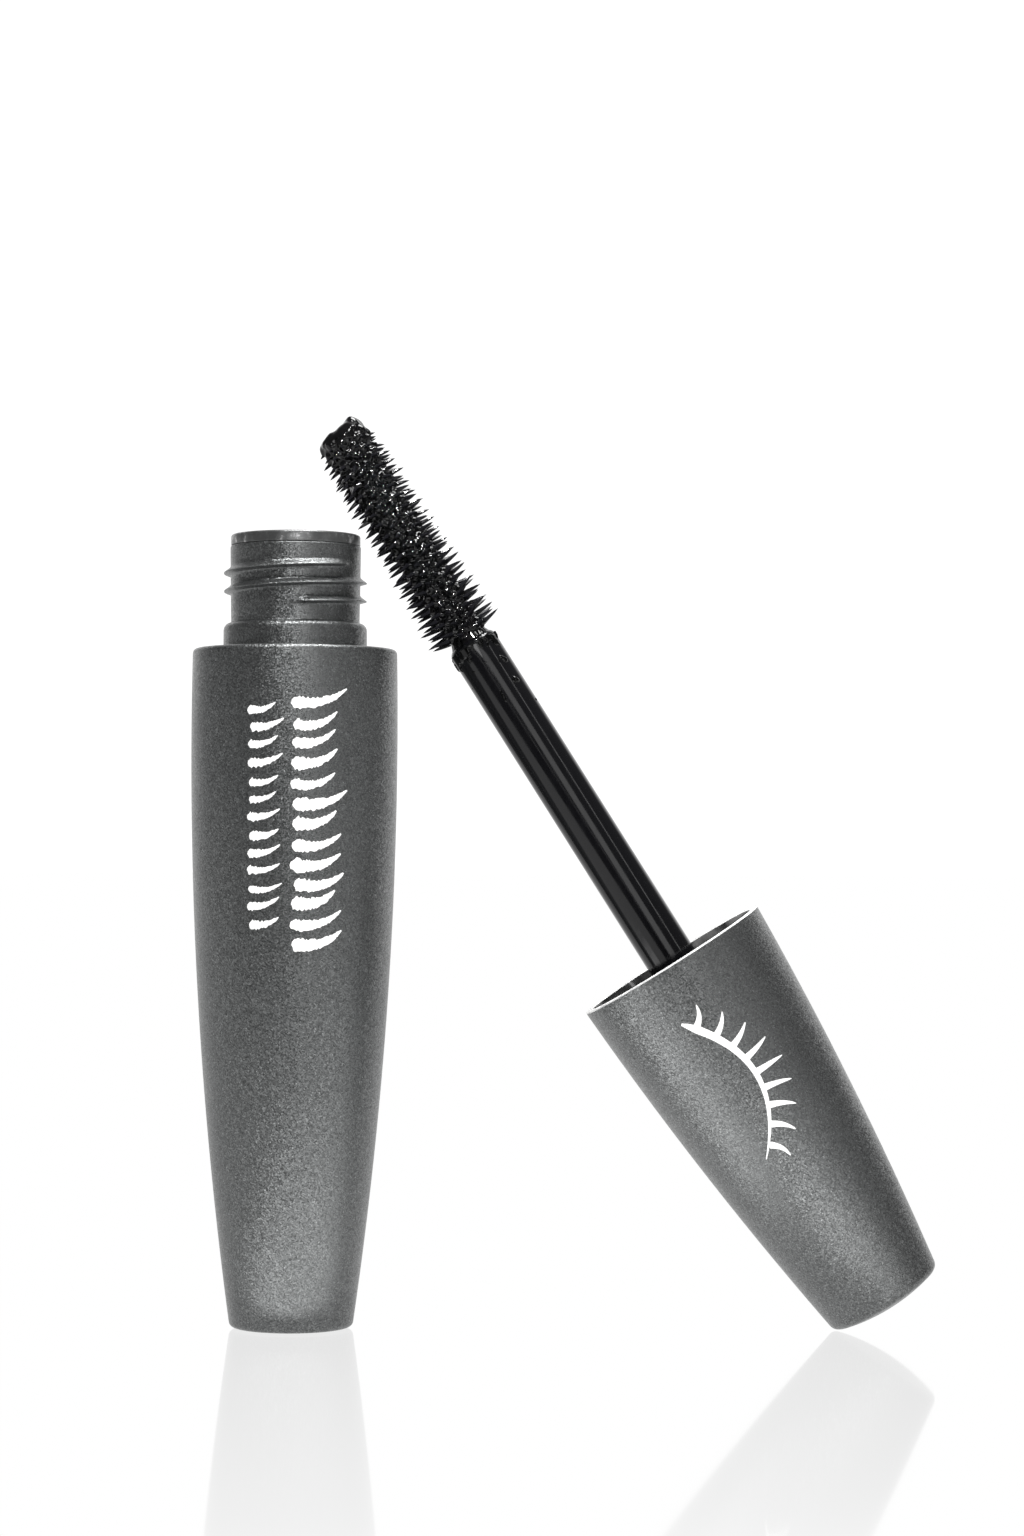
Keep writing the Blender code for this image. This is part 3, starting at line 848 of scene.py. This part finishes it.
def add_stroke(builder, path, width, on_surface, rng, rough, along=26):
    """A tapered brush stroke along path(share) -> (across, up), laid on a round surface.

    rough is how far its edges waver, as a share of its half width.
    """
    lift = 0.012
    thickness = 0.03
    loops = []
    for step in range(along + 1):
        share = step / along
        centre = Vector(path(share))
        ahead = Vector(path(min(1.0, share + 0.01))) - Vector(path(max(0.0, share - 0.01)))
        side = Vector((-ahead.y, ahead.x)).normalized()
        half = width / 2 * min(1.0, 0.3 + share / 0.1) * (1.02 - share) ** 0.6
        left = centre + side * (half + rng.uniform(-rough, rough) * half)
        right = centre - side * (half + rng.uniform(-rough, rough) * half)
        loop = []
        for height in (lift, lift + thickness):
            for cross in range(5):
                spot = left.lerp(right, cross / 4)
                loop.append(builder.verts.new(on_surface(spot.x, spot.y, height)))
        loops.append(loop)
    for near, far in zip(loops, loops[1:]):
        for cross in range(4):
            builder.faces.new((near[cross], near[cross + 1], far[cross + 1], far[cross]))
            builder.faces.new((near[5 + cross], far[5 + cross], far[6 + cross], near[6 + cross]))
        builder.faces.new((near[0], far[0], far[5], near[5]))
        builder.faces.new((near[4], near[9], far[9], far[4]))
    for loop in (loops[0], loops[-1]):
        for cross in range(4):
            builder.faces.new((loop[cross], loop[cross + 1], loop[6 + cross], loop[5 + cross]))


def on_bottle(across, up, lift):
    """A spot on the bottle's front, by arc length from its middle line and height."""
    radius = bottle_radius(up)
    angle = -math.pi / 2 + across / radius
    return ((radius + lift) * math.cos(angle), (radius + lift) * math.sin(angle), up)


def on_cap(across, depth, lift):
    """A spot on the cap's front, by arc length from its middle line and depth from the mouth."""
    radius = cap_radius(depth)
    angle = -math.pi / 2 + across / radius
    return ((radius + lift) * math.cos(angle), (radius + lift) * math.sin(angle), -depth)


def curved(start, end, sag):
    """A bowed path from start to end; sag is how far its middle hangs to one side."""
    start = Vector(start)
    end = Vector(end)
    side = Vector((-(end - start).y, (end - start).x)).normalized()

    def path(share):
        return tuple(start.lerp(end, share) + side * (sag * 4 * share * (1 - share)))

    return path


def bottle_motif(ink):
    """Two columns of rough, curved lash strokes in white."""
    rng = random.Random(3)
    builder = bmesh.new()
    strokes = 13
    for index in range(strokes):
        up = 47.2 + 2.35 * index + rng.uniform(-0.2, 0.2)
        reach = 5.9 + rng.uniform(-0.9, 1.0)
        start = 0.6 + rng.uniform(-0.3, 0.3)
        path = curved((start, up - 0.9), (start + reach, up + rng.uniform(0.2, 0.9)), -0.8)
        add_stroke(builder, path, 1.5 + rng.uniform(-0.2, 0.3), on_bottle, rng, rough=0.22, along=34)
    for index in range(strokes):
        up = 49.0 + 2.1 * index + rng.uniform(-0.15, 0.15)
        reach = 3.7 + rng.uniform(-0.5, 0.6)
        start = -4.8 + rng.uniform(-0.2, 0.2)
        path = curved((start, up - 0.5), (start + reach, up + rng.uniform(0.1, 0.6)), -0.45)
        add_stroke(builder, path, 1.0 + rng.uniform(-0.1, 0.2), on_bottle, rng, rough=0.25)
    add_piece("bottle_motif", builder, ink, "bottle")


def cap_motif(ink):
    """A closed eye: a bowed lid line with nine lashes fanning out from its outer side."""
    rng = random.Random(5)
    builder = bmesh.new()
    lid = curved((-3.4, 6.6), (-3.4, 25.4), -4.4)
    add_stroke(builder, lid, 1.0, on_cap, rng, rough=0.02, along=48)
    for index in range(9):
        share = 0.07 + 0.1075 * index
        root = Vector(lid(share))
        fan = (share - 0.5) * 2.3
        length = 3.9 - 1.2 * abs(share - 0.5) * 2
        end = root + Vector((math.cos(fan), math.sin(fan))) * length
        add_stroke(builder, curved(root, end, (0.5 - share) * 0.9), 0.85, on_cap, rng, rough=0.03)
    add_piece("cap_motif", builder, ink, "applicator", place=LEANING)


# ---------------------------------------------------------------- studio

def studio_floor():
    """A white light table: it glows evenly and mirrors the object only at a low angle.

    The mirror fades out between mirror_full and mirror_edge from the middle, so it has no rim.
    """
    mirror_full = 0.12
    mirror_edge = 0.21
    bpy.ops.mesh.primitive_plane_add(size=60.0, location=(0.0, 0.0, -0.0002))
    floor = bpy.context.object
    floor.name = "studio_floor"
    material = bpy.data.materials.new("light_table")
    material.use_nodes = True
    tree = material.node_tree
    tree.nodes.clear()
    glow = tree.nodes.new("ShaderNodeEmission")
    glow.inputs["Strength"].default_value = 1.0
    gloss = tree.nodes.new("ShaderNodeBsdfGlossy")
    gloss.inputs["Roughness"].default_value = 0.05
    fresnel = tree.nodes.new("ShaderNodeFresnel")
    fresnel.inputs["IOR"].default_value = 1.07
    coordinates = tree.nodes.new("ShaderNodeTexCoord")
    distance = tree.nodes.new("ShaderNodeVectorMath")
    distance.operation = "LENGTH"
    tree.links.new(coordinates.outputs["Object"], distance.inputs[0])
    nearness = tree.nodes.new("ShaderNodeMapRange")
    nearness.interpolation_type = "SMOOTHSTEP"
    nearness.inputs["From Min"].default_value = mirror_edge
    nearness.inputs["From Max"].default_value = mirror_full
    tree.links.new(distance.outputs["Value"], nearness.inputs["Value"])
    mirror = tree.nodes.new("ShaderNodeMath")
    mirror.operation = "MULTIPLY"
    tree.links.new(fresnel.outputs["Fac"], mirror.inputs[0])
    tree.links.new(nearness.outputs["Result"], mirror.inputs[1])
    mixed = tree.nodes.new("ShaderNodeMixShader")
    output = tree.nodes.new("ShaderNodeOutputMaterial")
    tree.links.new(mirror.outputs["Value"], mixed.inputs["Fac"])
    tree.links.new(glow.outputs["Emission"], mixed.inputs[1])
    tree.links.new(gloss.outputs["BSDF"], mixed.inputs[2])
    tree.links.new(mixed.outputs["Shader"], output.inputs["Surface"])
    floor.data.materials.append(material)


def studio_world():
    """White to the camera and behind the object, dim above, to the sides and in front."""
    white_to_camera = 1.1
    dim = 0.11
    bright_behind = 1.25
    world = bpy.data.worlds.new("studio")
    bpy.context.scene.world = world
    world.use_nodes = True
    tree = world.node_tree
    background = tree.nodes["Background"]
    background.inputs["Color"].default_value = (1.0, 1.0, 1.0, 1.0)
    coordinates = tree.nodes.new("ShaderNodeTexCoord")
    split = tree.nodes.new("ShaderNodeSeparateXYZ")
    tree.links.new(coordinates.outputs["Generated"], split.inputs["Vector"])

    glow = tree.nodes.new("ShaderNodeMapRange")
    glow.interpolation_type = "SMOOTHSTEP"
    glow.inputs["From Min"].default_value = 0.45
    glow.inputs["From Max"].default_value = 0.85
    glow.inputs["To Min"].default_value = dim
    glow.inputs["To Max"].default_value = bright_behind
    tree.links.new(split.outputs["Y"], glow.inputs["Value"])
    path = tree.nodes.new("ShaderNodeLightPath")
    shown = tree.nodes.new("ShaderNodeMix")
    shown.inputs["B"].default_value = white_to_camera
    tree.links.new(path.outputs["Is Camera Ray"], shown.inputs["Factor"])
    tree.links.new(glow.outputs["Result"], shown.inputs["A"])
    tree.links.new(shown.outputs["Result"], background.inputs["Strength"])


def softbox(name, place, aim, width, height, brightness):
    """A rectangular lamp; brightness is its radiance, where the white background is 1."""
    lamp = bpy.data.lights.new(name, "AREA")
    lamp.shape = "RECTANGLE"
    lamp.size = width
    lamp.size_y = height
    lamp.energy = brightness * math.pi * width * height
    holder = bpy.data.objects.new(name, lamp)
    bpy.context.collection.objects.link(holder)
    holder.location = place
    holder.rotation_euler = (Vector(aim) - Vector(place)).to_track_quat("-Z", "Y").to_euler()
    holder.visible_camera = False
    return holder


def brush_glint(receivers):
    """A small strong lamp that lights only the wet brush, for its points of light."""
    wet = bpy.data.collections.new("wet_pieces")
    for piece in receivers:
        wet.objects.link(piece)
    lamp = softbox("brush_glint", (-0.06, -0.3, 0.34), (0.02, 0.0, 0.09), 0.024, 0.024, 2600.0)
    lamp.light_linking.receiver_collection = wet


def black_card():
    """The dark front of the room: beyond the light table's front edge nothing glows."""
    bpy.ops.mesh.primitive_plane_add(size=1.0, location=(0.0, -1.28, 0.001))
    card = bpy.context.object
    card.name = "black_card"
    card.scale = (4.0, 2.2, 1.0)
    black = Shader("black_card", (0.01, 0.01, 0.01), 0.9)
    card.data.materials.append(black.material)
    card.visible_camera = False


def studio_lights():
    """Soft boxes on the right and above, small fills by the foot and the cap, and one hard glint."""
    middle = (0.03, 0.0, 0.05)
    softbox("key_right", (0.168, -0.48, 0.1), middle, 0.17, 0.3, 1.7)
    softbox("side_right", (0.42, -0.42, 0.07), middle, 0.26, 0.14, 0.6)
    softbox("strip_right", (0.4, -0.25, 0.277), middle, 0.03, 0.36, 2.6)
    softbox("overhead", (0.1, 0.02, 0.58), (0.01, 0.0, 0.09), 0.3, 0.2, 20.0)
    softbox("shoulder_front", (0.006, -0.09, 0.1), (0.0, 0.0, 0.08), 0.05, 0.02, 4.6)
    softbox("foot_fill", (0.012, -0.033, 0.0015), (0.012, -0.033, 1.0), 0.066, 0.048, 1.5)
    softbox("cap_fill", (0.08, -0.045, 0.0015), (0.08, -0.045, 1.0), 0.05, 0.05, 1.7)
    softbox("high_glint", (-0.05, -0.22, 0.5), (0.02, 0.0, 0.09), 0.02, 0.02, 1100.0)


def studio_camera():
    """Eye level at mid-bottle, looking along +Y and slightly up, a touch askew, through a long lens."""
    tilt_up = 1.61
    askew = -0.26
    data = bpy.data.cameras.new("camera")
    data.lens = 82.97
    data.sensor_width = 36.0
    camera = bpy.data.objects.new("camera", data)
    bpy.context.collection.objects.link(camera)
    camera.location = (0.0263, -0.427, 0.0552)
    camera.rotation_euler = (math.radians(90 + tilt_up), math.radians(askew), 0.0)
    bpy.context.scene.camera = camera
    bpy.context.scene.view_settings.view_transform = "Standard"


# ---------------------------------------------------------------- everything

studio_camera()
studio_floor()
studio_world()
studio_lights()
black_card()

bottle_paint = satin_paint("bottle_satin_paint", (0.128, 0.132, 0.132))
cap_paint = satin_paint("cap_satin_paint", (0.14, 0.144, 0.144))
ink = white_ink_painted_glow("white_print_painted_glow")
paste = wet_mascara("wet_mascara")
moulded = gloss_black("moulded_bristle_plastic", 0.11, 0.02, 0.14)

bottle_shell(bottle_paint)
neck_and_collar(bottle_paint)
wiper_insert(smooth_satin("wiper_satin"))
vial_paste(paste)
bottle_motif(ink)

cap_outer(cap_paint, bare_shell("cap_inner_wall"), pale_lip_painted_highlight("cap_lip_painted_highlight"))
cap_liner(gloss_black("liner_gloss_black", 0.16))
seal_ring(foam_seal("seal_foam"))
wand_stem(gloss_black("stem_gloss_black"))
stem_residue(paste)
cap_motif(ink)

places = bristle_places()
brush_spine(moulded)
brush_glint([brush_bristles(places, moulded), mascara_coat(places, paste)])
